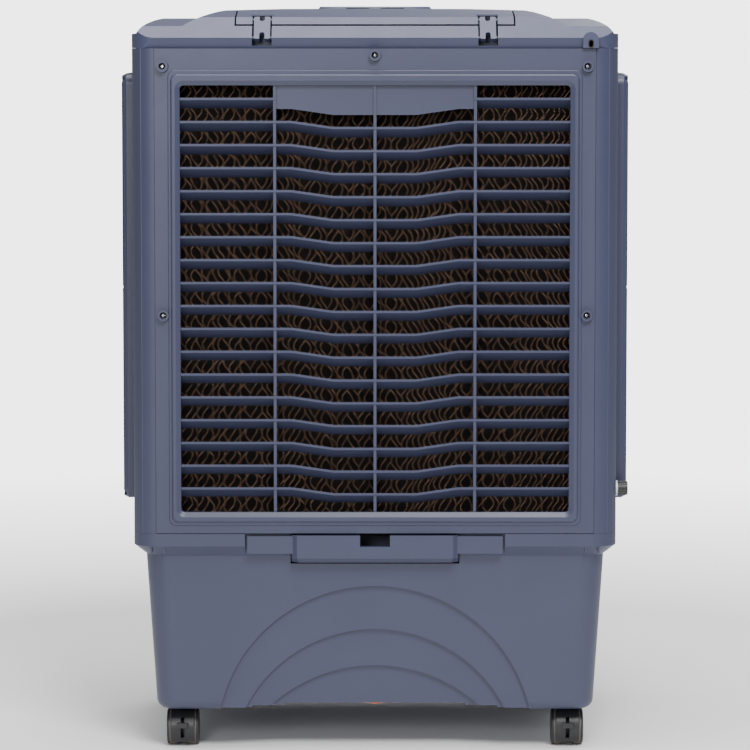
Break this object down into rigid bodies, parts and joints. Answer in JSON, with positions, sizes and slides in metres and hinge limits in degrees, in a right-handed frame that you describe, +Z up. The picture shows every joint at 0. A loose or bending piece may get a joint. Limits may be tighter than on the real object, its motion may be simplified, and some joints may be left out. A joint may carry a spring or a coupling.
{
  "type": "evaporative cooler",
  "caption": "Portable evaporative cooler: tub on twin-wheel casters, cabinet with slatted intake grilles over wet pads, fan, louvred outlet and hinged lid.",
  "frame": {"origin": "on the floor under the middle of the cabinet", "axes": "+Z up, -Y is the air outlet side, +Y is the rear intake side with the filling drawer, +X is to the right when facing the outlet"},
  "size_m": [0.6488, 0.4653, 0.957],
  "materials": {
    "cabinet_plastic": "satin",
    "cover_plastic": "satin",
    "black_plastic": "satin",
    "net_black": "matte",
    "pad_paper": "matte",
    "screw_steel": "polished",
    "rubber_black": "matte",
    "wheel_tread": "matte",
    "plug_orange": "satin",
    "white_plastic": "satin",
    "fan_plastic": "gloss",
    "pump_plastic": "satin",
    "knob_plastic": "gloss",
    "motor_paint": "satin",
    "steel": "brushed",
    "guard_wire": "satin"
  },
  "bodies": {
    "root": {"water_tank": "cabinet_plastic", "cabinet": "cabinet_plastic", "top_cover": "cover_plastic", "rear_grille": "cabinet_plastic", "left_grille": "cabinet_plastic", "right_grille": "cabinet_plastic", "rear_net": "net_black", "side_nets": "net_black", "rear_pad": "pad_paper", "side_pads": "pad_paper", "grille_screws": "screw_steel", "cord_bush": "rubber_black", "ice_tray": "white_plastic", "fan_shroud": "black_plastic", "fan_motor": "motor_paint", "motor_bracket": "black_plastic", "fan_guard": "guard_wire", "water_pump": "pump_plastic", "riser_hose": "rubber_black", "water_distributor": "white_plastic", "hose_connector": "white_plastic", "float_valve": "white_plastic", "front_bezel": "cabinet_plastic", "swing_motor": "white_plastic", "control_panel": "black_plastic", "switch_bodies": "white_plastic"},
    "lid": {"lid": "cover_plastic"},
    "hinge_links": {"hinge_links": "cabinet_plastic"},
    "fan": {"fan_rotor": "fan_plastic", "motor_shaft": "steel"},
    "cap": {"connector_cap": "black_plastic"},
    "float": {"float_arm": "white_plastic"},
    "drain_plug": {"drain_plug": "plug_orange"},
    "drawer": {"fill_drawer": "cabinet_plastic"},
    "louvre_1": {"louvre_1": "white_plastic"},
    "louvre_2": {"louvre_2": "white_plastic"},
    "louvre_3": {"louvre_3": "white_plastic"},
    "louvre_4": {"louvre_4": "white_plastic"},
    "louvre_5": {"louvre_5": "white_plastic"},
    "louvre_6": {"louvre_6": "white_plastic"},
    "louvre_link": {"louvre_link": "white_plastic"},
    "vane_1": {"vane_1": "white_plastic"},
    "vane_2": {"vane_2": "white_plastic"},
    "vane_3": {"vane_3": "white_plastic"},
    "vane_4": {"vane_4": "white_plastic"},
    "vane_5": {"vane_5": "white_plastic"},
    "vane_link": {"vane_link": "white_plastic"},
    "knob_1": {"knob_1": "knob_plastic"},
    "knob_2": {"knob_2": "knob_plastic"},
    "knob_3": {"knob_3": "knob_plastic"},
    "caster_1": {"caster_1": "black_plastic"},
    "wheels_1": {"wheels_1": "wheel_tread"},
    "brake_lever_1": {"brake_lever_1": "black_plastic"},
    "caster_2": {"caster_2": "black_plastic"},
    "wheels_2": {"wheels_2": "wheel_tread"},
    "brake_lever_2": {"brake_lever_2": "black_plastic"},
    "caster_3": {"caster_3": "black_plastic"},
    "wheels_3": {"wheels_3": "wheel_tread"},
    "caster_4": {"caster_4": "black_plastic"},
    "wheels_4": {"wheels_4": "wheel_tread"}
  },
  "joints": [
    {"name": "link_hinge", "type": "hinge", "parent": "root", "child": "hinge_links", "pos_m": [0, 0.214, 0.9145], "axis": [-1, 0, 0], "range_deg": [0, 52]},
    {"name": "lid_hinge", "type": "hinge", "parent": "hinge_links", "child": "lid", "pos_m": [0, 0.193, 0.937], "axis": [-1, 0, 0], "range_deg": [0, 52]},
    {"name": "fan_spin", "type": "hinge", "parent": "root", "child": "fan", "pos_m": [0, -0.112, 0.632], "axis": [0, -1, 0], "continuous": true},
    {"name": "cap_pull", "type": "slide", "parent": "root", "child": "cap", "axis": [-1, 0, 0], "range_m": [0, 0.02]},
    {"name": "float_hinge", "type": "hinge", "parent": "root", "child": "float", "pos_m": [-0.252, 0.06, 0.236], "axis": [0, 1, 0], "range_deg": [-20, 30]},
    {"name": "drain_pull", "type": "slide", "parent": "root", "child": "drain_plug", "axis": [0, 0, -1], "range_m": [0, 0.03]},
    {"name": "drawer_slide", "type": "slide", "parent": "root", "child": "drawer", "axis": [0, 1, 0], "range_m": [0, 0.045]},
    {"name": "louvre_1_tilt", "type": "hinge", "parent": "root", "child": "louvre_1", "pos_m": [0, -0.207, 0.50333], "axis": [1, 0, 0], "range_deg": [-35, 35]},
    {"name": "louvre_2_tilt", "type": "hinge", "parent": "root", "child": "louvre_2", "pos_m": [0, -0.207, 0.554], "axis": [1, 0, 0], "range_deg": [-35, 35]},
    {"name": "louvre_3_tilt", "type": "hinge", "parent": "root", "child": "louvre_3", "pos_m": [0, -0.207, 0.60467], "axis": [1, 0, 0], "range_deg": [-35, 35]},
    {"name": "louvre_4_tilt", "type": "hinge", "parent": "root", "child": "louvre_4", "pos_m": [0, -0.207, 0.65533], "axis": [1, 0, 0], "range_deg": [-35, 35]},
    {"name": "louvre_5_tilt", "type": "hinge", "parent": "root", "child": "louvre_5", "pos_m": [0, -0.207, 0.706], "axis": [1, 0, 0], "range_deg": [-35, 35]},
    {"name": "louvre_6_tilt", "type": "hinge", "parent": "root", "child": "louvre_6", "pos_m": [0, -0.207, 0.75667], "axis": [1, 0, 0], "range_deg": [-35, 35]},
    {"name": "louvre_link_pivot", "type": "hinge", "parent": "louvre_1", "child": "louvre_link", "pos_m": [0.22, -0.196, 0.50333], "axis": [1, 0, 0], "range_deg": [-35, 35]},
    {"name": "vane_1_swing", "type": "hinge", "parent": "root", "child": "vane_1", "pos_m": [-0.1872, -0.176, 0.63], "axis": [0, 0, 1], "range_deg": [-35, 35]},
    {"name": "vane_2_swing", "type": "hinge", "parent": "root", "child": "vane_2", "pos_m": [-0.0936, -0.176, 0.63], "axis": [0, 0, 1], "range_deg": [-35, 35]},
    {"name": "vane_3_swing", "type": "hinge", "parent": "root", "child": "vane_3", "pos_m": [0, -0.176, 0.63], "axis": [0, 0, 1], "range_deg": [-35, 35]},
    {"name": "vane_4_swing", "type": "hinge", "parent": "root", "child": "vane_4", "pos_m": [0.0936, -0.176, 0.63], "axis": [0, 0, 1], "range_deg": [-35, 35]},
    {"name": "vane_5_swing", "type": "hinge", "parent": "root", "child": "vane_5", "pos_m": [0.1872, -0.176, 0.63], "axis": [0, 0, 1], "range_deg": [-35, 35]},
    {"name": "vane_link_pivot", "type": "hinge", "parent": "vane_3", "child": "vane_link", "pos_m": [0, -0.165, 0.538], "axis": [0, 0, 1], "range_deg": [-35, 35]},
    {"name": "knob_1_turn", "type": "hinge", "parent": "root", "child": "knob_1", "pos_m": [-0.15, -0.216, 0.848], "axis": [0, -1, 0], "range_deg": [-135, 135]},
    {"name": "knob_2_turn", "type": "hinge", "parent": "root", "child": "knob_2", "pos_m": [0, -0.216, 0.848], "axis": [0, -1, 0], "range_deg": [-135, 135]},
    {"name": "knob_3_turn", "type": "hinge", "parent": "root", "child": "knob_3", "pos_m": [0.15, -0.216, 0.848], "axis": [0, -1, 0], "range_deg": [-135, 135]},
    {"name": "caster_1_swivel", "type": "hinge", "parent": "root", "child": "caster_1", "pos_m": [-0.249, 0.138, 0.06], "axis": [0, 0, 1], "continuous": true},
    {"name": "wheels_1_roll", "type": "hinge", "parent": "caster_1", "child": "wheels_1", "pos_m": [-0.249, 0.158, 0.0235], "axis": [1, 0, 0], "continuous": true},
    {"name": "brake_lever_1_press", "type": "hinge", "parent": "caster_1", "child": "brake_lever_1", "pos_m": [-0.249, 0.169, 0.035], "axis": [-1, 0, 0], "range_deg": [0, 12]},
    {"name": "caster_2_swivel", "type": "hinge", "parent": "root", "child": "caster_2", "pos_m": [0.249, 0.138, 0.06], "axis": [0, 0, 1], "continuous": true},
    {"name": "wheels_2_roll", "type": "hinge", "parent": "caster_2", "child": "wheels_2", "pos_m": [0.249, 0.158, 0.0235], "axis": [1, 0, 0], "continuous": true},
    {"name": "brake_lever_2_press", "type": "hinge", "parent": "caster_2", "child": "brake_lever_2", "pos_m": [0.249, 0.169, 0.035], "axis": [-1, 0, 0], "range_deg": [0, 12]},
    {"name": "caster_3_swivel", "type": "hinge", "parent": "root", "child": "caster_3", "pos_m": [-0.249, -0.138, 0.06], "axis": [0, 0, 1], "continuous": true},
    {"name": "wheels_3_roll", "type": "hinge", "parent": "caster_3", "child": "wheels_3", "pos_m": [-0.249, -0.118, 0.0235], "axis": [1, 0, 0], "continuous": true},
    {"name": "caster_4_swivel", "type": "hinge", "parent": "root", "child": "caster_4", "pos_m": [0.249, -0.138, 0.06], "axis": [0, 0, 1], "continuous": true},
    {"name": "wheels_4_roll", "type": "hinge", "parent": "caster_4", "child": "wheels_4", "pos_m": [0.249, -0.118, 0.0235], "axis": [1, 0, 0], "continuous": true}
  ],
  "couplings": [
    {"joint": "link_hinge", "follows": "lid_hinge", "ratio": 1},
    {"joint": "louvre_2_tilt", "follows": "louvre_1_tilt", "ratio": 1},
    {"joint": "louvre_3_tilt", "follows": "louvre_1_tilt", "ratio": 1},
    {"joint": "louvre_4_tilt", "follows": "louvre_1_tilt", "ratio": 1},
    {"joint": "louvre_5_tilt", "follows": "louvre_1_tilt", "ratio": 1},
    {"joint": "louvre_6_tilt", "follows": "louvre_1_tilt", "ratio": 1},
    {"joint": "louvre_link_pivot", "follows": "louvre_1_tilt", "ratio": -1},
    {"joint": "vane_1_swing", "follows": "vane_3_swing", "ratio": 1},
    {"joint": "vane_2_swing", "follows": "vane_3_swing", "ratio": 1},
    {"joint": "vane_4_swing", "follows": "vane_3_swing", "ratio": 1},
    {"joint": "vane_5_swing", "follows": "vane_3_swing", "ratio": 1},
    {"joint": "vane_link_pivot", "follows": "vane_3_swing", "ratio": -1}
  ]
}
